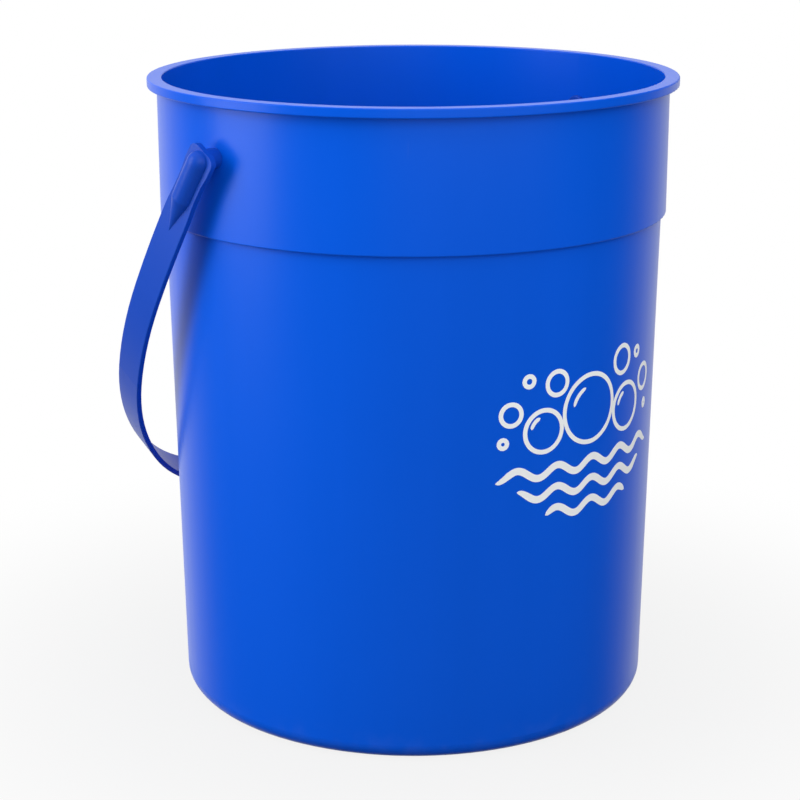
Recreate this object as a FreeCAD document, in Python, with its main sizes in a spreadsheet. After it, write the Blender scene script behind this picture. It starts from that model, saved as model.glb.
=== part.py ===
import FreeCAD, Part
import math
import os
import re
import Sketcher

# A small injection-moulded wash bucket: a tapered pail with a stepped upper band and a flat
# rim flange, and a flat strap bail that turns on two studs set in the band.
# Origin at the middle of the underside, +Z up. The studs lie on a line along X, and the bail
# hangs towards +Y with its crown against the wall. Lengths are millimetres, angles degrees.

SIZES = {
    # pail
    "pail_height": 240.5,
    "rim_radius": 100.0,
    "rim_overhang": 3.6,
    "band_step": 1.8,
    "band_depth": 50.9,
    "wall_taper": 3.4,
    "wall_thick": 1.9,
    "floor_thick": 2.2,
    "base_round": 6.3,
    "edge_round": 0.5,
    "ledge_round": 0.8,
    "base_groove_inset": 29.2,
    "base_groove_width": 2.0,
    "base_groove_depth": 0.6,
    # rim flange, an upside-down channel
    "rim_depth": 3.4,
    "rim_plate": 1.8,
    "skirt_thick": 1.5,
    # pivot studs
    "pivot_drop": 21.5,
    "shank_radius": 2.6,
    "shank_clearance": 0.05,
    "seat_gap": 0.05,
    "button_radius": 4.4,
    "button_thick": 1.6,
    "button_round": 0.7,
    "collar_radius": 3.6,
    "journal_radius": 1.6,
    "journal_clearance": 0.05,
    "head_radius": 2.1,
    "head_length": 1.2,
    "head_tip_radius": 1.5,
    "head_tip_length": 0.6,
    # bail
    "rim_clearance": 1.65,
    "strap_thick": 2.1,
    "strap_width": 13.5,
    "eye_width": 13.2,
    "eye_overhang": 3.9,
    "eye_corner": 3.2,
    "eye_end": 2.5,
    "neck_width": 11.8,
    "neck_start": 8.0,
    "neck_end": 15.0,
    "flare_end": 27.0,
    "leg_lean": 3.8,
    "leg_radius": 487.0,
    "leg_angle": 7.4,
    "shoulder_radius": 189.0,
    "shoulder_angle": 13.6,
    "side_radius": 128.0,
    "side_angle": 26.1,
    "strap_round": 0.45,
    "side_play": 0.5,
    "lean_gap": 0.3,
    # rib over the stud's head
    "rib_radius": 4.2,
    "rib_sink": 0.2,
    "rib_start": 0.9,
    "rib_straight": 17.0,
    "rib_length": 33.0,
    "bearing_thick": 1.3,
    "pocket_side_gap": 0.3,
    "pocket_end_gap": 0.3,
    "head_gap": 0.2,
}

doc = FreeCAD.newDocument("wash_bucket")
sheet = doc.addObject("Spreadsheet::Sheet", "Sizes")
for row, (size_name, size_value) in enumerate(SIZES.items(), start=1):
    sheet.set(f"A{row}", size_name)
    sheet.set(f"B{row}", str(size_value))
    sheet.setAlias(f"B{row}", size_name)
doc.recompute()


def bound(text):
    """The expression with each size pointing at its cell of the sheet."""
    return re.sub(r"[a-z][a-z_]*", lambda m: "Sizes." + m[0] if m[0] in SIZES else m[0], text)


def value(text):
    """What an expression of sizes is worth now, as a plain number."""
    found = sheet.evalExpression(bound(text))
    return float(getattr(found, "Value", found))


# Radii and heights that follow from the rim and the pail's height, step by step downwards.
BAND_RADIUS = "(rim_radius - rim_overhang)"
BODY_TOP_RADIUS = f"({BAND_RADIUS} - band_step)"
BASE_RADIUS = f"({BODY_TOP_RADIUS} - wall_taper)"
BAND_BASE = "(pail_height - band_depth)"
PIVOT_HEIGHT = "(pail_height - pivot_drop)"
PAIL_SLOPE = f"(wall_taper / {BAND_BASE})"
BAND_BORE = f"({BAND_RADIUS} - wall_thick)"

# Faces of the strap and the studs, as distances from the pail's axis along the pivot's line.
STRAP_BORE = "(rim_radius + rim_clearance)"
STRAP_FACE = f"({STRAP_BORE} + strap_thick / cos(leg_lean))"
BUTTON_SEAT = f"(sqrt({BAND_BORE}^2 - button_radius^2) - seat_gap)"
COLLAR_START = f"({BAND_RADIUS} + seat_gap)"
COLLAR_END = f"({STRAP_BORE} - side_play)"
BEARING_END = f"({STRAP_BORE} + bearing_thick)"
HEAD_START = f"({BEARING_END} + head_gap)"
HEAD_END = f"({HEAD_START} + head_length)"
POCKET_END = f"({HEAD_END} + pocket_end_gap)"
STRAP_HALF = "(strap_width / 2)"
NECK_HALF = "(neck_width / 2)"
EYE_HALF = "(eye_width / 2)"

# Two measures of a shape this near each other count as the same.
NEAR = 0.01


def origin_part(body, role):
    """One of the body's own base planes or axes."""
    return next(part for part in body.Origin.OriginFeatures if part.Role == role)


def new_body(label):
    body = doc.addObject("PartDesign::Body", label)
    body.Label = label
    return body


def arc_middle(start, end, radius, turn):
    """The middle point of the arc that turns "left" or "right" from start to end."""
    chord = end - start
    half = chord.Length / 2
    across = FreeCAD.Vector(chord.y, -chord.x, 0).normalize()
    rise = radius - math.sqrt(max(radius * radius - half * half, 0.0))
    return (start + end) * 0.5 + across * (rise if turn == "left" else -rise)


def draw(body, name, plane, corners):
    """A closed sketch on one of the body's planes. Each corner is two expressions. An arc to
    the next corner adds its radius and the way it turns."""
    sketch = body.newObject("Sketcher::SketchObject", name)
    sketch.AttachmentSupport = [(origin_part(body, plane), "")]
    sketch.MapMode = "FlatFace"
    places = [FreeCAD.Vector(value(c[0]), value(c[1]), 0) for c in corners]
    ends = []
    for index, corner in enumerate(corners):
        start = places[index]
        end = places[(index + 1) % len(places)]
        if len(corner) > 2:
            middle = arc_middle(start, end, value(corner[2]), corner[3])
            run = (start, end) if corner[3] == "left" else (end, start)
            geometry = sketch.addGeometry(Part.Arc(run[0], middle, run[1]), False)
        else:
            geometry = sketch.addGeometry(Part.LineSegment(start, end), False)
        backward = corner[3:] == ("right",)
        ends.append((geometry, 2, 1) if backward else (geometry, 1, 2))
    for index, (geometry, first, last) in enumerate(ends):
        after = ends[(index + 1) % len(ends)]
        sketch.addConstraint(Sketcher.Constraint("Coincident", geometry, last, after[0], after[1]))
    for index, (geometry, first, last) in enumerate(ends):
        corner = corners[index]
        for kind, text, axis in (("DistanceX", corner[0], -2), ("DistanceY", corner[1], -1)):
            if text == "0":
                sketch.addConstraint(Sketcher.Constraint("PointOnObject", geometry, first, axis))
                continue
            rule = Sketcher.Constraint(kind, geometry, first, value(text))
            number = sketch.addConstraint(rule)
            sketch.setExpression(f"Constraints[{number}]", bound(text))
        if len(corner) > 2:
            rule = Sketcher.Constraint("Radius", geometry, value(corner[2]))
            number = sketch.addConstraint(rule)
            sketch.setExpression(f"Constraints[{number}]", bound(corner[2]))
    return sketch


def revolve(body, kind, name, sketch, axis):
    feature = body.newObject(f"PartDesign::{kind}", name)
    feature.Profile = sketch
    feature.ReferenceAxis = axis
    feature.Angle = 360
    sketch.Visibility = False
    doc.recompute()
    return feature


def cut_through(body, name, sketch, length):
    """A pocket through the whole piece, both ways from the sketch."""
    before = body.Shape.Volume
    feature = body.newObject("PartDesign::Pocket", name)
    feature.Profile = sketch
    feature.Midplane = True
    feature.setExpression("Length", bound(length))
    doc.recompute()
    if body.Shape.Volume >= before:
        raise RuntimeError(f"{name} cut nothing")
    return feature


def ring_edges(shape, rings):
    """Names of the round edges about Z with these radius and height expressions."""
    wanted = [(value(radius), value(height)) for radius, height in rings]
    names = []
    for number, edge in enumerate(shape.Edges, start=1):
        if not isinstance(edge.Curve, Part.Circle):
            continue
        for radius, height in wanted:
            near_radius = abs(edge.Curve.Radius - radius) < NEAR
            if near_radius and abs(edge.Curve.Center.z - height) < NEAR:
                names.append(f"Edge{number}")
    if len(names) < len(wanted):
        raise RuntimeError(f"found {len(names)} of {len(wanted)} ring edges")
    return names


def round_edges(body, name, base, edges, radius):
    feature = body.newObject("PartDesign::Fillet", name)
    feature.Base = (base, edges)
    feature.setExpression("Radius", bound(radius))
    doc.recompute()
    return feature


def make_bucket_shell():
    """The pail: one wall all round, stepped out at the band, with a channel for a rim."""
    body = new_body("bucket_shell")
    groove_outer = f"({BASE_RADIUS} - base_groove_inset)"
    groove_inner = f"({groove_outer} - base_groove_width)"
    plate_low = "(pail_height - rim_plate)"
    skirt_low = "(pail_height - rim_depth)"
    skirt_bore = "(rim_radius - skirt_thick)"
    ledge_top = f"({BAND_BASE} + wall_thick)"
    ledge_bore = f"({BODY_TOP_RADIUS} + wall_thick * {PAIL_SLOPE} - wall_thick)"
    floor_bore = f"({BASE_RADIUS} + floor_thick * {PAIL_SLOPE} - wall_thick)"
    outline = [
        ("0", "0"),
        (groove_inner, "0"),
        (groove_inner, "base_groove_depth"),
        (groove_outer, "base_groove_depth"),
        (groove_outer, "0"),
        (BASE_RADIUS, "0"),
        (BODY_TOP_RADIUS, BAND_BASE),
        (BAND_RADIUS, BAND_BASE),
        (BAND_RADIUS, plate_low),
        (skirt_bore, plate_low),
        (skirt_bore, skirt_low),
        ("rim_radius", skirt_low),
        ("rim_radius", "pail_height"),
        (BAND_BORE, "pail_height"),
        (BAND_BORE, ledge_top),
        (ledge_bore, ledge_top),
        (floor_bore, "floor_thick"),
        ("0", "floor_thick"),
    ]
    sketch = draw(body, "pail_outline", "XZ_Plane", outline)
    wall = revolve(body, "Revolution", "pail_wall", sketch, (origin_part(body, "Z_Axis"), [""]))
    corner = ring_edges(wall.Shape, [(BASE_RADIUS, "0")])
    outside = round_edges(body, "base_corner", wall, corner, "base_round")
    corner = ring_edges(outside.Shape, [(floor_bore, "floor_thick")])
    inside = round_edges(body, "floor_corner", outside, corner, "base_round - wall_thick")
    lips = ring_edges(
        inside.Shape,
        [
            (BAND_RADIUS, BAND_BASE),
            ("rim_radius", "pail_height"),
            ("rim_radius", skirt_low),
            (BAND_BORE, "pail_height"),
        ],
    )
    edges = round_edges(body, "lip_edges", inside, lips, "edge_round")
    ledges = ring_edges(edges.Shape, [(BAND_BORE, ledge_top), (ledge_bore, ledge_top)])
    half_ledge = f"(({BAND_BORE} - {ledge_bore}) / 2 - seat_gap)"
    round_edges(body, "ledge_edges", edges, ledges, f"min(ledge_round; {half_ledge})")
    holes = body.newObject("Sketcher::SketchObject", "stud_hole_outline")
    holes.AttachmentSupport = [(origin_part(body, "YZ_Plane"), "")]
    holes.MapMode = "FlatFace"
    centre = FreeCAD.Vector(0, value(PIVOT_HEIGHT), 0)
    hole_radius = "shank_radius + shank_clearance"
    up = FreeCAD.Vector(0, 0, 1)
    holes.addGeometry(Part.Circle(centre, up, value(hole_radius)), False)
    holes.addConstraint(Sketcher.Constraint("PointOnObject", 0, 3, -2))
    height = holes.addConstraint(Sketcher.Constraint("DistanceY", 0, 3, value(PIVOT_HEIGHT)))
    holes.setExpression(f"Constraints[{height}]", bound(PIVOT_HEIGHT))
    size = holes.addConstraint(Sketcher.Constraint("Radius", 0, value(hole_radius)))
    holes.setExpression(f"Constraints[{size}]", bound(hole_radius))
    cut_through(body, "stud_holes", holes, "2 * rim_radius")
    return body


def make_pivot_stud(label, turn):
    """A turned stud: a headed button inside the wall, a collar that holds the strap off the
    wall, a journal for the strap's hole and a snap head inside the strap's rib."""
    body = new_body(label)
    outline = [
        (f"{BUTTON_SEAT} - button_thick", "0"),
        (f"{BUTTON_SEAT} - button_thick", "button_radius"),
        (BUTTON_SEAT, "button_radius"),
        (BUTTON_SEAT, "shank_radius"),
        (COLLAR_START, "shank_radius"),
        (COLLAR_START, "collar_radius"),
        (COLLAR_END, "collar_radius"),
        (COLLAR_END, "journal_radius"),
        (HEAD_START, "journal_radius"),
        (HEAD_START, "head_radius"),
        (f"{HEAD_END} - head_tip_length", "head_radius"),
        (HEAD_END, "head_tip_radius"),
        (HEAD_END, "0"),
    ]
    sketch = draw(body, f"{label}_outline", "XZ_Plane", outline[::-1])
    axis = (origin_part(body, "X_Axis"), [""])
    turned = revolve(body, "Revolution", f"{label}_turned", sketch, axis)
    inner_face = value(f"{BUTTON_SEAT} - button_thick")
    rims = [
        f"Edge{number}"
        for number, edge in enumerate(turned.Shape.Edges, start=1)
        if isinstance(edge.Curve, Part.Circle)
        and abs(edge.Curve.Center.x - inner_face) < NEAR
    ]
    round_edges(body, f"{label}_button_edge", turned, rims, "button_round")
    upright = FreeCAD.Vector(0, 0, 1)
    body.Placement = FreeCAD.Placement(
        FreeCAD.Vector(0, 0, value(PIVOT_HEIGHT)), FreeCAD.Rotation(upright, turn)
    )
    body.setExpression("Placement.Base.z", bound(PIVOT_HEIGHT))
    return body


def strap_arch(offset):
    """Half of one face of the strap, from the pivot to the crown, this far inside its outer
    face: the ends of its arcs, the arcs' radii, and the crown's height."""
    turned = "(-leg_lean)"
    across, along = STRAP_FACE, "0"
    joints = [(f"({across} - {offset} * cos{turned})", f"({along} - {offset} * sin{turned})")]
    radii = []
    for name in ("leg", "shoulder", "side"):
        after = f"({turned} + {name}_angle)"
        across = f"({across} + {name}_radius * (cos{after} - cos{turned}))"
        along = f"({along} + {name}_radius * (sin{after} - sin{turned}))"
        turned = after
        joints.append((f"({across} - {offset} * cos{turned})", f"({along} - {offset} * sin{turned})"))
        radii.append(f"({name}_radius - {offset})")
    crown = f"({across} / cos{turned})"
    radii.append(f"({crown} - {offset})")
    return joints, radii, f"({along} + {crown} * (1 - sin{turned}) - {offset})"


def arch_side(offset, turn):
    """The corners of one face of the strap, from end to end, with arcs that turn this way."""
    joints, radii, _ = strap_arch(offset)
    sign, other = ("", "-") if turn == "left" else ("-", "")
    tip = f"({STRAP_FACE} - {offset} / cos(leg_lean) - eye_overhang * tan(leg_lean))"
    up = [(sign + x, y, radius, turn) for (x, y), radius in zip(joints, radii)]
    down = [(other + x, y, radius, turn) for (x, y), radius in zip(joints[:0:-1], radii[-2::-1])]
    last = (other + joints[0][0], joints[0][1])
    return [(sign + tip, "-eye_overhang")] + up + down + [last, (other + tip, "-eye_overhang")]


def hang_angle():
    """How far below level the bail hangs when its crown's lower inside edge meets the wall."""
    crown_y = strap_arch("strap_thick")[2]
    reach = f"sqrt({crown_y}^2 + {STRAP_HALF}^2)"
    wall_at_pivot = f"({BASE_RADIUS} + {PAIL_SLOPE} * {PIVOT_HEIGHT} + lean_gap)"
    tilt = f"atan({PAIL_SLOPE})"
    lean = f"acos({wall_at_pivot} / ({reach} * sqrt(1 + {PAIL_SLOPE}^2)))"
    return f"{tilt} + {lean} - atan({STRAP_HALF} / {crown_y})"


def make_bail_handle():
    """A flat strap bent into an arch, with a half-round rib over each stud's head. It is drawn
    lying level, legs along +Y from the studs' line, and then turned down to hang."""
    body = new_body("bail_handle")
    outline = arch_side("0", "left") + arch_side("strap_thick", "right")
    sketch = draw(body, "strap_outline", "XY_Plane", outline)
    strap = body.newObject("PartDesign::Pad", "strap")
    strap.Profile = sketch
    strap.Midplane = True
    strap.setExpression("Length", bound("strap_width"))
    doc.recompute()
    end_edge = value("strap_thick / cos(leg_lean)")
    long_edges = [
        f"Edge{number}"
        for number, edge in enumerate(strap.Shape.Edges, start=1)
        if edge.BoundBox.ZLength < NEAR and edge.Length > end_edge + NEAR
    ]
    round_edges(body, "strap_edges", strap, long_edges, "strap_round")
    past_end = "(eye_overhang + strap_width)"
    corner_start = "(eye_corner - eye_overhang)"
    corner_half = f"({EYE_HALF} - eye_corner)"
    trim = [
        ("flare_end", "strap_width"),
        ("flare_end", STRAP_HALF),
        ("neck_end", NECK_HALF),
        ("neck_start", NECK_HALF),
        ("eye_end", EYE_HALF),
        (corner_start, EYE_HALF, "eye_corner", "left"),
        ("-eye_overhang", corner_half),
        ("-eye_overhang", f"-{corner_half}", "eye_corner", "left"),
        (corner_start, f"-{EYE_HALF}"),
        ("eye_end", f"-{EYE_HALF}"),
        ("neck_start", f"-{NECK_HALF}"),
        ("neck_end", f"-{NECK_HALF}"),
        ("flare_end", f"-{STRAP_HALF}"),
        ("flare_end", "-strap_width"),
        (f"-{past_end}", "-strap_width"),
        (f"-{past_end}", "strap_width"),
    ]
    ends = draw(body, "strap_end_outline", "YZ_Plane", trim)
    cut_through(body, "strap_ends", ends, f"4 * {STRAP_FACE}")
    rib_outline = [
        ("0", "rib_start - rib_radius", "rib_radius", "left"),
        ("rib_radius", "rib_start"),
        ("rib_radius", "rib_straight"),
        ("0", "rib_length"),
    ]
    rib_sketch = draw(body, "rib_outline", "XY_Plane", rib_outline)
    rib_seat = f"{STRAP_FACE} - rib_sink"
    rib_lean = "leg_lean - rib_length / leg_radius * 90 / pi"
    clockwise = FreeCAD.Rotation(FreeCAD.Vector(0, 0, -1), value(rib_lean))
    place = FreeCAD.Placement(FreeCAD.Vector(value(rib_seat), 0, 0), clockwise)
    rib_sketch.AttachmentOffset = place
    rib_sketch.setExpression(".AttachmentOffset.Base.x", bound(rib_seat))
    rib_sketch.setExpression(".AttachmentOffset.Rotation.Angle", bound(rib_lean))
    rib = body.newObject("PartDesign::Revolution", "rib")
    rib.Profile = rib_sketch
    rib.ReferenceAxis = (rib_sketch, ["V_Axis"])
    rib.Midplane = True
    rib.Angle = 180
    doc.recompute()
    bore = "(journal_radius + journal_clearance)"
    hollow = "(head_radius + pocket_side_gap)"
    pocket = [
        (f"{STRAP_BORE} - side_play", "0"),
        (POCKET_END, "0"),
        (POCKET_END, hollow),
        (BEARING_END, hollow),
        (BEARING_END, bore),
        (f"{STRAP_BORE} - side_play", bore),
    ]
    pocket_sketch = draw(body, "stud_pocket_outline", "XY_Plane", pocket)
    axis = (origin_part(body, "X_Axis"), [""])
    before = body.Shape.Volume
    groove = revolve(body, "Groove", "stud_pocket", pocket_sketch, axis)
    if body.Shape.Volume >= before:
        raise RuntimeError("the stud pocket cut nothing")
    mirror = body.newObject("PartDesign::Mirrored", "other_end")
    mirror.Originals = [rib, groove]
    mirror.MirrorPlane = (origin_part(body, "YZ_Plane"), [""])
    body.Tip = mirror
    doc.recompute()
    across = FreeCAD.Vector(-1, 0, 0)
    body.Placement = FreeCAD.Placement(
        FreeCAD.Vector(0, 0, value(PIVOT_HEIGHT)), FreeCAD.Rotation(across, value(hang_angle()))
    )
    body.setExpression("Placement.Base.z", bound(PIVOT_HEIGHT))
    body.setExpression("Placement.Rotation.Angle", bound(hang_angle()))
    return body


pieces = [
    make_bucket_shell(),
    make_pivot_stud("pivot_stud_right", 0),
    make_pivot_stud("pivot_stud_left", 180),
    make_bail_handle(),
]
doc.recompute()

for item in doc.Objects:
    if "Invalid" in item.State or "Error" in item.State:
        raise RuntimeError(f"{item.Name} did not build: {item.State}")
for piece in pieces:
    if piece.Shape.isNull() or not piece.Shape.isValid() or len(piece.Shape.Solids) != 1:
        raise RuntimeError(f"{piece.Label} is not one valid solid")

os.makedirs("parts", exist_ok=True)
for piece in pieces:
    piece.Shape.exportStep(f"parts/{piece.Label}.step")
    box = piece.Shape.BoundBox
    print(piece.Label, "volume", round(piece.Shape.Volume), "mm3, box", box)
print("bail hangs", round(value(hang_angle()), 2), "degrees below level")
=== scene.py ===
import math

import bpy
from bpy.props import FloatProperty, FloatVectorProperty, PointerProperty
from mathutils import Matrix, Vector
from mathutils.bvhtree import BVHTree


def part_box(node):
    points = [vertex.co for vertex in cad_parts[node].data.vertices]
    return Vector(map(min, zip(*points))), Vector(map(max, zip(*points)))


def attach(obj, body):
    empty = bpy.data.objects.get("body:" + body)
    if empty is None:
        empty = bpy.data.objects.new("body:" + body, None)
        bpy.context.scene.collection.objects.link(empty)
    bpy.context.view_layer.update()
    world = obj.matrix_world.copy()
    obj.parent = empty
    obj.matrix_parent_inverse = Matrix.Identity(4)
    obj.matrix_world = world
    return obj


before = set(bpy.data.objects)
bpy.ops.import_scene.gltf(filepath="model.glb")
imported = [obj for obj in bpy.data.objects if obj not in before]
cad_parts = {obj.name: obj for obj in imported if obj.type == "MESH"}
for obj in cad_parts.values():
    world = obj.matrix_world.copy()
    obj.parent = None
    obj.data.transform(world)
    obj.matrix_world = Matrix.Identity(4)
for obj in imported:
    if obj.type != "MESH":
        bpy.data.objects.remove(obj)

bl_info = {
    "name": "Wash bucket looks",
    "version": (1, 0, 0),
    "blender": (4, 5, 0),
    "location": "3D View > Sidebar > Wash bucket",
    "description": "Finishes, print and stage for a small moulded wash bucket",
    "category": "Object",
}

MM = 0.001
WHITE = (1.0, 1.0, 1.0, 1.0)

# The high corner of the pail's box gives its height and its rim. The wall's radius is the one
# at the print.
PAIL_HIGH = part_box("bucket_shell")[1]
PAIL_HEIGHT = PAIL_HIGH.z
RIM_RADIUS = PAIL_HIGH.x
WALL_RADIUS = 0.93 * RIM_RADIUS

SENSOR_WIDTH = 36.0
PLASTIC_GLOSS = 0.16

# Heights at which the scuffs of each piece start to fade and end.
PAIL_SCUFFS = (2.0 * MM, 14.0 * MM)
HANDLE_SCUFFS = (55.0 * MM, 80.0 * MM)
STUD_SCUFFS = (0.0, 1.0 * MM)

# Each lamp's turn from the camera's side, its rise, its distance from the rim and its size.
KEY_LAMP = (math.radians(-75.0), math.radians(12.0), 0.75, (0.42, 0.7))
FILL_LAMP = (math.radians(24.0), math.radians(17.0), 0.6, (0.9, 0.45))

# The sky is even, with a glow overhead that reaches into the pail. Gloss sees a dim studio on
# the camera's side, which turns white beyond the pail between two cosines.
SKY_EVEN = 0.3
SKY_OVERHEAD = 6.5
GLOW_HEIGHTS = (0.3, 1.0)
STUDIO_DIM = 0.04
WHITE_BEYOND = (-0.85, -0.2)

# The camera sees a share of the floor's shadow, which ends between two distances in metres.
FLOOR_RADIUS = 1.6
FLOOR_SIDES = 96
FLOOR_DROP = 0.2 * MM
FLOOR_COLOUR = (0.24, 0.24, 0.24, 1.0)
SHADOW_SHARE = 0.14
SHADOW_REACH = (0.08, 0.3)


class PailLook(bpy.types.PropertyGroup):
    pail_colour: FloatVectorProperty(
        name="Pail colour",
        description="Colour of the pail's plastic",
        subtype="COLOR",
        size=3,
        min=0.0,
        max=1.0,
        default=(0.0, 0.092, 0.68),
    )
    handle_colour: FloatVectorProperty(
        name="Handle colour",
        description="Colour of the strap handle's plastic",
        subtype="COLOR",
        size=3,
        min=0.0,
        max=1.0,
        default=(0.004, 0.058, 0.45),
    )
    ink_colour: FloatVectorProperty(
        name="Ink colour",
        description="Colour of the print on the front",
        subtype="COLOR",
        size=3,
        min=0.0,
        max=1.0,
        default=(0.93, 0.95, 0.96),
    )
    pail_roughness: FloatProperty(
        name="Pail roughness",
        description="How dull the pail's plastic is",
        min=0.0,
        max=1.0,
        default=0.3,
    )
    handle_roughness: FloatProperty(
        name="Handle roughness",
        description="How dull the handle's plastic is",
        min=0.0,
        max=1.0,
        default=0.38,
    )


class PrintLayout(bpy.types.PropertyGroup):
    middle_height: FloatProperty(
        name="Middle height",
        description="Height of the print's middle above the floor",
        unit="LENGTH",
        default=119.0 * MM,
    )
    ink_thickness: FloatProperty(
        name="Ink thickness",
        description="How far the ink stands off the wall",
        unit="LENGTH",
        default=0.07 * MM,
    )


class StageLayout(bpy.types.PropertyGroup):
    camera_turn: FloatProperty(
        name="Camera turn",
        description="Camera's angle about the pail, from straight in front",
        subtype="ANGLE",
        default=math.radians(-44.3),
    )
    camera_rise: FloatProperty(
        name="Camera rise",
        description="Camera's angle above level",
        subtype="ANGLE",
        default=math.radians(15.28),
    )
    camera_distance: FloatProperty(
        name="Camera distance",
        description="From the pail's middle to the camera",
        unit="LENGTH",
        default=808.7 * MM,
    )
    camera_lens: FloatProperty(
        name="Lens",
        description="Focal length in millimetres",
        default=92.475,
    )
    aim_right: FloatProperty(
        name="Aim right",
        description="How far right of the pail's middle the camera looks",
        unit="LENGTH",
        default=-5.2 * MM,
    )
    aim_up: FloatProperty(
        name="Aim up",
        description="How far above the pail's middle the camera looks",
        unit="LENGTH",
        default=-7.9 * MM,
    )
    camera_roll: FloatProperty(
        name="Camera roll",
        description="Camera's turn about its own line of sight",
        subtype="ANGLE",
        default=math.radians(0.12),
    )
    key_power: FloatProperty(
        name="Key lamp",
        description="Power of the soft lamp at the left",
        subtype="POWER",
        default=4.8,
    )
    fill_power: FloatProperty(
        name="Fill lamp",
        description="Power of the soft lamp in front, at the right",
        subtype="POWER",
        default=2.6,
    )
    sky_strength: FloatProperty(
        name="Sky",
        description="Strength of the light from all round",
        default=0.24,
    )


class Wire:
    """A socket in a node tree that takes part in sums, each of which adds a Math node."""

    def __init__(self, board, socket):
        self.board = board
        self.socket = socket

    def maths(self, operation, *values):
        settings = {"operation": operation}
        return self.board.wire("ShaderNodeMath", settings, dict(enumerate(values)))

    def __add__(self, other):
        return self.maths("ADD", self, other)

    def __radd__(self, other):
        return self.maths("ADD", other, self)

    def __sub__(self, other):
        return self.maths("SUBTRACT", self, other)

    def __rsub__(self, other):
        return self.maths("SUBTRACT", other, self)

    def __mul__(self, other):
        return self.maths("MULTIPLY", self, other)

    def __rmul__(self, other):
        return self.maths("MULTIPLY", other, self)

    def clamped(self):
        return self.maths("MINIMUM", self.maths("MAXIMUM", self, 0.0), 1.0)

    def smooth(self, low, high):
        """0 below low, 1 above high and an even curve between."""
        values = {"Value": self, "From Min": low, "From Max": high}
        settings = {"interpolation_type": "SMOOTHSTEP"}
        return self.board.wire("ShaderNodeMapRange", settings, values)


class Board:
    """A material's or the world's node tree, and the one way to add a node to it."""

    def __init__(self, owner):
        owner.use_nodes = True
        self.tree = owner.node_tree
        self.tree.nodes.clear()

    def node(self, kind, settings=None, values=None):
        made = self.tree.nodes.new(kind)
        for name, setting in (settings or {}).items():
            setattr(made, name, setting)
        for key, given in (values or {}).items():
            socket = self.socket(made.inputs, key)
            if isinstance(given, Wire):
                self.tree.links.new(given.socket, socket)
            else:
                socket.default_value = given
        return made

    def wire(self, kind, settings=None, values=None, out=0):
        made = self.node(kind, settings, values)
        return Wire(self, self.socket(made.outputs, out))

    def mix_colour(self, factor, first, second):
        settings = {"data_type": "RGBA"}
        values = {"Factor_Float": factor, "A_Color": first, "B_Color": second}
        return self.wire("ShaderNodeMix", settings, values, "Result_Color")

    @staticmethod
    def socket(sockets, key):
        if isinstance(key, int):
            return sockets[key]
        return next(s for s in sockets if key in (s.identifier, s.name))


def opaque(colour, share=1.0):
    return (*(channel * share for channel in colour), 1.0)


def noise(board, place, scale, detail=3.0):
    values = {"Vector": place, "Scale": scale, "Detail": detail, "Roughness": 0.55}
    return board.wire("ShaderNodeTexNoise", {}, values, "Fac")


def stretched(board, place, across, along):
    """The place, scaled in X and Y by one amount and in Z by another."""
    settings = {"vector_type": "POINT"}
    values = {"Vector": place, "Scale": (across, across, along)}
    return board.wire("ShaderNodeMapping", settings, values)


def moulded_plastic(name, colour, roughness, flow, scuffs):
    """Smooth moulded polypropylene: faint flow streaks, a fine skin, hairline scratches, and a
    duller scuffed zone that fades out between two heights."""
    material = bpy.data.materials.new(name)
    board = Board(material)
    place = board.wire("ShaderNodeTexCoord", {}, {}, "Object")
    height = board.wire("ShaderNodeSeparateXYZ", {}, {"Vector": place}, "Z")
    cloud = noise(board, place, 9.0)
    streak = noise(board, stretched(board, place, 60.0, flow), 1.0, 4.0)
    skin = noise(board, place, 900.0, 2.0)
    swell = noise(board, place, 55.0, 2.0)
    hairs = noise(board, stretched(board, place, 900.0, 30.0), 1.0, 2.0)
    rings = noise(board, stretched(board, place, 40.0, 1600.0), 1.0, 2.0)
    scratch = hairs.smooth(0.70, 0.78) * cloud.smooth(0.45, 0.7)
    scratch_across = rings.smooth(0.70, 0.80) * cloud.smooth(0.4, 0.65)
    scuff = (1.0 - height.smooth(*scuffs)) * noise(board, place, 160.0).smooth(0.4, 0.75)
    depth = (cloud - 0.5) * 0.5 + (streak - 0.5) * 0.5 + 0.5
    shade = board.mix_colour(depth.clamped(), opaque(colour, 0.93), opaque(colour, 1.07))
    pale = tuple(0.75 * channel + 0.25 for channel in colour)
    shade = board.mix_colour((scuff * 0.04 + scratch * 0.05).clamped(), shade, opaque(pale))
    dullness = roughness + (cloud - 0.5) * 0.08 + (streak - 0.5) * 0.05
    dullness = dullness + scuff * 0.12 + scratch * 0.15 + scratch_across * 0.08
    relief = skin * 0.35 + swell * 0.8 - scratch * 0.5 - scratch_across * 0.3 - scuff * 0.4
    values = {"Strength": 0.12, "Distance": 0.12 * MM, "Height": relief}
    bump = board.wire("ShaderNodeBump", {}, values)
    shader = board.wire(
        "ShaderNodeBsdfPrincipled",
        {},
        {
            "Base Color": shade,
            "Roughness": dullness.clamped(),
            "Specular IOR Level": PLASTIC_GLOSS,
            "Normal": bump,
        },
    )
    board.node("ShaderNodeOutputMaterial", {}, {"Surface": shader})
    return material


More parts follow.
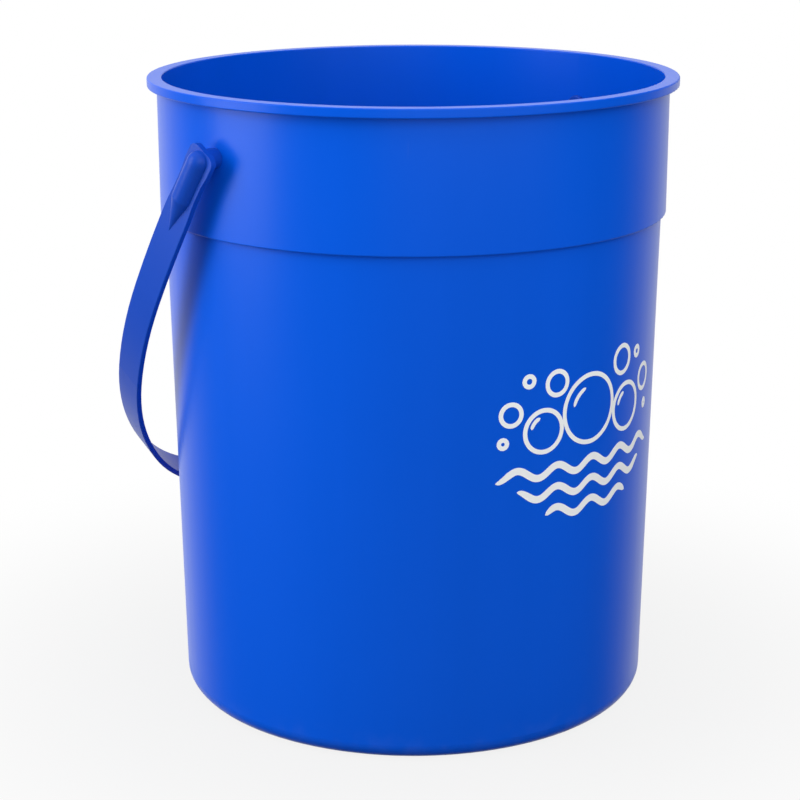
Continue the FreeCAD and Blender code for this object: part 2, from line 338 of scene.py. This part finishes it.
def screen_ink(name, colour):
    """Thin opaque ink: slightly uneven cover, a fine mesh grain and a satin surface."""
    material = bpy.data.materials.new(name)
    board = Board(material)
    place = board.wire("ShaderNodeTexCoord", {}, {}, "Object")
    patch = noise(board, place, 140.0)
    grain = noise(board, place, 2600.0, 1.0)
    shade = board.mix_colour(patch, opaque(colour, 0.95), opaque(colour, 1.0))
    bump = board.wire(
        "ShaderNodeBump", {}, {"Strength": 0.15, "Distance": 0.03 * MM, "Height": grain}
    )
    shader = board.wire(
        "ShaderNodeBsdfPrincipled",
        {},
        {"Base Color": shade, "Roughness": patch * 0.12 + 0.42, "Normal": bump},
    )
    board.node("ShaderNodeOutputMaterial", {}, {"Surface": shader})
    return material


def dress(node, material):
    """Gives a CAD node this material all over."""
    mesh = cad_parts[node].data
    mesh.materials.clear()
    mesh.materials.append(material)


class BUCKET_OT_pail(bpy.types.Operator):
    """Finish the pail's plastic"""

    bl_idname = "wash_bucket.pail"
    bl_label = "Pail"

    def execute(self, context):
        look = context.scene.pail_look
        plastic = moulded_plastic(
            "pail_plastic", look.pail_colour, look.pail_roughness, 3.0, PAIL_SCUFFS
        )
        dress("bucket_shell", plastic)
        return {"FINISHED"}


class BUCKET_OT_handle(bpy.types.Operator):
    """Finish the strap handle and the two studs that it turns on"""

    bl_idname = "wash_bucket.handle"
    bl_label = "Handle and studs"

    def execute(self, context):
        look = context.scene.pail_look
        strap = moulded_plastic(
            "handle_plastic", look.handle_colour, look.handle_roughness, 12.0, HANDLE_SCUFFS
        )
        stud = moulded_plastic(
            "stud_plastic", look.handle_colour, look.handle_roughness, 30.0, STUD_SCUFFS
        )
        dress("bail_handle", strap)
        for side in ("left", "right"):
            dress(f"pivot_stud_{side}", stud)
        return {"FINISHED"}


def wall_tree():
    """The pail's mesh, ready to be asked where a line meets it."""
    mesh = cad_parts["bucket_shell"].data
    mesh.calc_loop_triangles()
    places = [v.co.copy() for v in mesh.vertices]
    return BVHTree.FromPolygons(places, [t.vertices[:] for t in mesh.loop_triangles])


def on_wall(tree, across, height, lift):
    """The point this far round the front of the wall and this high, lifted off its surface."""
    angle = across / WALL_RADIUS
    outward = Vector((math.sin(angle), -math.cos(angle), 0.0))
    start = Vector((0.0, 0.0, height)) + outward * 2.0 * RIM_RADIUS
    hit = tree.ray_cast(start, -outward)[0]
    if hit is None:
        raise RuntimeError("the print runs off the pail")
    return hit + outward * lift


def ribbon(path, widths, closed):
    """The two edges of a stroke along a path, as points across and up the print."""
    count = len(path)
    edges = []
    for index, point in enumerate(path):
        before = path[index - 1] if index or closed else point
        after = path[(index + 1) % count] if index + 1 < count or closed else point
        run = (Vector(after) - Vector(before)).normalized()
        side = Vector((-run.y, run.x)) * widths[index] / 2.0
        edges.append((Vector(point) + side, Vector(point) - side))
    return edges


def round_path(middle, radius, start, end, step):
    """Eight or more points on an arc from one angle to the other, in degrees."""
    count = max(8, math.ceil(math.radians(abs(end - start)) * radius / step))
    closed = abs(end - start) >= 360
    angles = [
        math.radians(start + (end - start) * k / (count if closed else count - 1))
        for k in range(count)
    ]
    return [(middle[0] + radius * math.cos(a), middle[1] + radius * math.sin(a)) for a in angles]


def tapered(count, width, share):
    """Stroke widths that narrow to a rounded point over this share of the length at each end."""
    widths = []
    for k in range(count):
        along = min(1.0, min(k, count - 1 - k) / (count - 1) / share)
        widths.append(width * max(THINNEST_SHARE, math.sqrt(1.0 - (1.0 - along) ** 2)))
    return widths


# Soap bubbles over ripples. Each bubble is across, up and radius, and each row of ripples is up
# and half its length, in millimetres from the print's middle.
BUBBLES = (
    (-2.0, 9.5, 13.5),
    (-23.5, 4.5, 8.6),
    (20.5, 5.5, 9.6),
    (-36.8, 12.0, 4.8),
    (36.0, 13.2, 5.6),
    (-18.2, 21.5, 5.2),
    (16.6, 24.0, 6.0),
    (-30.0, 23.6, 2.8),
    (28.2, 24.6, 2.6),
    (-39.8, 1.6, 2.4),
    (38.6, 2.2, 2.2),
)
WAVES = ((-11.0, 42.5), (-19.0, 34.0), (-27.0, 22.0))
BUBBLE_STROKE = 1.7 * MM
BUBBLE_STEP = 0.8 * MM

# A glint is an arc inside a bubble with more than this radius in millimetres.
GLINT_BUBBLE = 8.0
GLINT_SHARE = 0.62
GLINT_FROM = 108.0
GLINT_TO = 168.0
GLINT_STROKE = 1.5 * MM
GLINT_STEP = 0.5 * MM
GLINT_TAPER = 0.25

# The step between points on a row of ripples is in millimetres, as its length is.
WAVE_STEP = 0.7
WAVE_STROKE = 2.7 * MM
WAVE_HEIGHT = 1.9 * MM
WAVE_LENGTH = 17.0 * MM
WAVE_TAPER = 0.09

THINNEST_SHARE = 0.04
INK_GAP = 0.01 * MM


def bubble_strokes():
    """Each bubble's ring, with a glint inside the larger ones."""
    strokes = []
    for across, up, radius in BUBBLES:
        middle = (across * MM, up * MM)
        size = radius * MM
        ring = round_path(middle, size - BUBBLE_STROKE / 2, 0.0, 360.0, BUBBLE_STEP)
        strokes.append((ring, [BUBBLE_STROKE] * len(ring), True))
        if radius > GLINT_BUBBLE:
            glint = round_path(middle, size * GLINT_SHARE, GLINT_FROM, GLINT_TO, GLINT_STEP)
            strokes.append((glint, tapered(len(glint), GLINT_STROKE, GLINT_TAPER), False))
    return strokes


def wave_strokes():
    """Three rows of ripples, shorter towards the bottom."""
    strokes = []
    for up, half in WAVES:
        count = round(2 * half / WAVE_STEP)
        path = []
        for k in range(count + 1):
            across = (2.0 * k / count - 1.0) * half * MM
            path.append((across, up * MM + WAVE_HEIGHT * math.cos(math.tau * across / WAVE_LENGTH)))
        strokes.append((path, tapered(len(path), WAVE_STROKE, WAVE_TAPER), False))
    return strokes


class BUCKET_OT_print(bpy.types.Operator):
    """Lay the one-colour print on the front of the pail"""

    bl_idname = "wash_bucket.print"
    bl_label = "Front print"

    def execute(self, context):
        layout = context.scene.print_layout
        tree = wall_tree()
        # Each place along a stroke has four points: left and right at the wall, then on top.
        levels = (INK_GAP, layout.ink_thickness)
        points = []
        faces = []
        for path, widths, closed in bubble_strokes() + wave_strokes():
            first = len(points)
            edges = ribbon(path, widths, closed)
            for left, right in edges:
                for lift in levels:
                    for corner in (left, right):
                        height = layout.middle_height + corner.y
                        points.append(on_wall(tree, corner.x, height, lift))
            count = len(edges)
            for k in range(count if closed else count - 1):
                here = first + 4 * k
                there = first + 4 * ((k + 1) % count)
                for a, b in ((0, 1), (1, 3), (3, 2), (2, 0)):
                    faces.append((here + a, here + b, there + b, there + a))
            if not closed:
                last = first + 4 * (count - 1)
                faces.append((first, first + 2, first + 3, first + 1))
                faces.append((last, last + 1, last + 3, last + 2))
        mesh = bpy.data.meshes.new("front_print")
        mesh.from_pydata(points, [], faces)
        mesh.validate()
        mesh.update()
        mesh.materials.append(screen_ink("print_ink", context.scene.pail_look.ink_colour))
        piece = bpy.data.objects.new("front_print", mesh)
        context.scene.collection.objects.link(piece)
        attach(piece, "pail")
        return {"FINISHED"}


def camera_axes(layout):
    """Right, up and back of a level camera at the stage's turn and rise."""
    turn = layout.camera_turn
    rise = layout.camera_rise
    flat = math.cos(rise)
    back = Vector((math.sin(turn) * flat, -math.cos(turn) * flat, math.sin(rise)))
    right = Vector((math.cos(turn), math.sin(turn), 0.0))
    return right, back.cross(right), back


def add_camera(context, layout):
    right, up, back = camera_axes(layout)
    middle = Vector((0.0, 0.0, PAIL_HEIGHT / 2.0))
    place = middle + back * layout.camera_distance
    aim = middle + right * layout.aim_right + up * layout.aim_up
    forward = (aim - place).normalized()
    side = forward.cross(Vector((0.0, 0.0, 1.0))).normalized()
    head = side.cross(forward)
    turned = Matrix((side, head, -forward)).transposed().to_4x4()
    roll = Matrix.Rotation(-layout.camera_roll, 4, "Z")
    camera = bpy.data.objects.new("camera", bpy.data.cameras.new("camera"))
    camera.data.lens = layout.camera_lens
    camera.data.sensor_width = SENSOR_WIDTH
    camera.matrix_world = Matrix.Translation(place) @ turned @ roll
    context.scene.collection.objects.link(camera)
    context.scene.camera = camera


def add_lamp(context, name, camera_turn, place, power):
    """A soft rectangular lamp that faces the middle of the pail's rim."""
    turn, rise, distance, size = place
    turn += camera_turn
    lamp = bpy.data.lights.new(name, "AREA")
    lamp.shape = "RECTANGLE"
    lamp.size, lamp.size_y = size
    lamp.energy = power
    flat = math.cos(rise)
    back = Vector((math.sin(turn) * flat, -math.cos(turn) * flat, math.sin(rise)))
    piece = bpy.data.objects.new(name, lamp)
    piece.location = Vector((0.0, 0.0, PAIL_HEIGHT)) + back * distance
    piece.rotation_euler = back.to_track_quat("Z", "Y").to_euler()
    context.scene.collection.objects.link(piece)


def add_sky(context, layout):
    """Light from all round. The camera sees white, and gloss sees a dim studio on the
    camera's side and white beyond the pail."""
    world = bpy.data.worlds.new("studio")
    context.scene.world = world
    board = Board(world)
    way = board.wire("ShaderNodeTexCoord", {}, {}, "Generated")
    turn = layout.camera_turn
    front = (math.sin(turn), -math.cos(turn), 0.0)
    settings = {"operation": "DOT_PRODUCT"}
    facing = board.wire("ShaderNodeVectorMath", settings, {0: way, 1: front}, "Value")
    beyond = 1.0 - facing.smooth(*WHITE_BEYOND)
    rays = board.node("ShaderNodeLightPath")
    camera = Wire(board, rays.outputs["Is Camera Ray"])
    gloss = Wire(board, rays.outputs["Is Glossy Ray"])
    clear = Wire(board, rays.outputs["Is Transmission Ray"])
    height = board.wire("ShaderNodeSeparateXYZ", {}, {"Vector": way}, "Z")
    soft = layout.sky_strength * (height.smooth(*GLOW_HEIGHTS) * SKY_OVERHEAD + SKY_EVEN)
    mirrored = beyond * (1.0 - STUDIO_DIM) + STUDIO_DIM
    strength = soft + gloss * (mirrored - soft)
    strength = strength + camera.maths("MAXIMUM", camera, clear) * (1.0 - strength)
    light = board.wire("ShaderNodeBackground", {}, {"Color": WHITE, "Strength": strength})
    board.node("ShaderNodeOutputWorld", {}, {"Surface": light})


def add_floor(context):
    """A plain pale round floor that keeps the pail's shadow near it and is white beyond."""
    angles = [math.tau * k / FLOOR_SIDES for k in range(FLOOR_SIDES)]
    edge = [(FLOOR_RADIUS * math.cos(a), FLOOR_RADIUS * math.sin(a), 0.0) for a in angles]
    mesh = bpy.data.meshes.new("floor")
    mesh.from_pydata(edge, [], [tuple(range(FLOOR_SIDES))])
    material = bpy.data.materials.new("pale_floor")
    board = Board(material)
    place = board.wire("ShaderNodeTexCoord", {}, {}, "Object")
    settings = {"operation": "LENGTH"}
    away = board.wire("ShaderNodeVectorMath", settings, {0: place}, "Value")
    rays = board.node("ShaderNodeLightPath")
    seen = Wire(board, rays.outputs["Is Camera Ray"])
    painted = board.wire("ShaderNodeBsdfDiffuse", {}, {"Color": FLOOR_COLOUR, "Roughness": 0.0})
    glow = board.wire("ShaderNodeEmission", {}, {"Color": WHITE, "Strength": 1.0})
    share = seen * (away.smooth(*SHADOW_REACH) * SHADOW_SHARE + (1.0 - SHADOW_SHARE))
    mixed = board.wire("ShaderNodeMixShader", {}, {0: share, 1: painted, 2: glow})
    board.node("ShaderNodeOutputMaterial", {}, {"Surface": mixed})
    mesh.materials.append(material)
    floor = bpy.data.objects.new("floor", mesh)
    floor.location.z = -FLOOR_DROP
    floor.visible_glossy = False
    context.scene.collection.objects.link(floor)


class BUCKET_OT_stage(bpy.types.Operator):
    """Set the floor, the lamps, the sky and the camera"""

    bl_idname = "wash_bucket.stage"
    bl_label = "Stage"

    def execute(self, context):
        layout = context.scene.stage_layout
        context.scene.view_settings.view_transform = "Standard"
        add_floor(context)
        add_sky(context, layout)
        turn = layout.camera_turn
        add_lamp(context, "key_lamp", turn, KEY_LAMP, layout.key_power)
        add_lamp(context, "fill_lamp", turn, FILL_LAMP, layout.fill_power)
        add_camera(context, layout)
        return {"FINISHED"}


class BUCKET_PT_panel(bpy.types.Panel):
    """Buttons and settings for the wash bucket"""

    bl_idname = "BUCKET_PT_panel"
    bl_label = "Wash bucket"
    bl_space_type = "VIEW_3D"
    bl_region_type = "UI"
    bl_category = "Wash bucket"

    def draw(self, context):
        column = self.layout.column()
        for operator in OPERATORS:
            column.operator(operator.bl_idname)
        for name in ("pail_look", "print_layout", "stage_layout"):
            settings = getattr(context.scene, name)
            box = self.layout.box()
            for entry in settings.__annotations__:
                box.prop(settings, entry)


OPERATORS = (BUCKET_OT_pail, BUCKET_OT_handle, BUCKET_OT_print, BUCKET_OT_stage)
GROUPS = (PailLook, PrintLayout, StageLayout)


def register():
    for kind in (*GROUPS, *OPERATORS, BUCKET_PT_panel):
        bpy.utils.register_class(kind)
    bpy.types.Scene.pail_look = PointerProperty(type=PailLook)
    bpy.types.Scene.print_layout = PointerProperty(type=PrintLayout)
    bpy.types.Scene.stage_layout = PointerProperty(type=StageLayout)


def unregister():
    del bpy.types.Scene.stage_layout
    del bpy.types.Scene.print_layout
    del bpy.types.Scene.pail_look
    for kind in reversed((*GROUPS, *OPERATORS, BUCKET_PT_panel)):
        bpy.utils.unregister_class(kind)


def main():
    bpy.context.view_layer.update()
    register()
    bpy.ops.wash_bucket.pail()
    bpy.ops.wash_bucket.handle()
    bpy.ops.wash_bucket.print()
    bpy.ops.wash_bucket.stage()


if __name__ == "__main__":
    main()
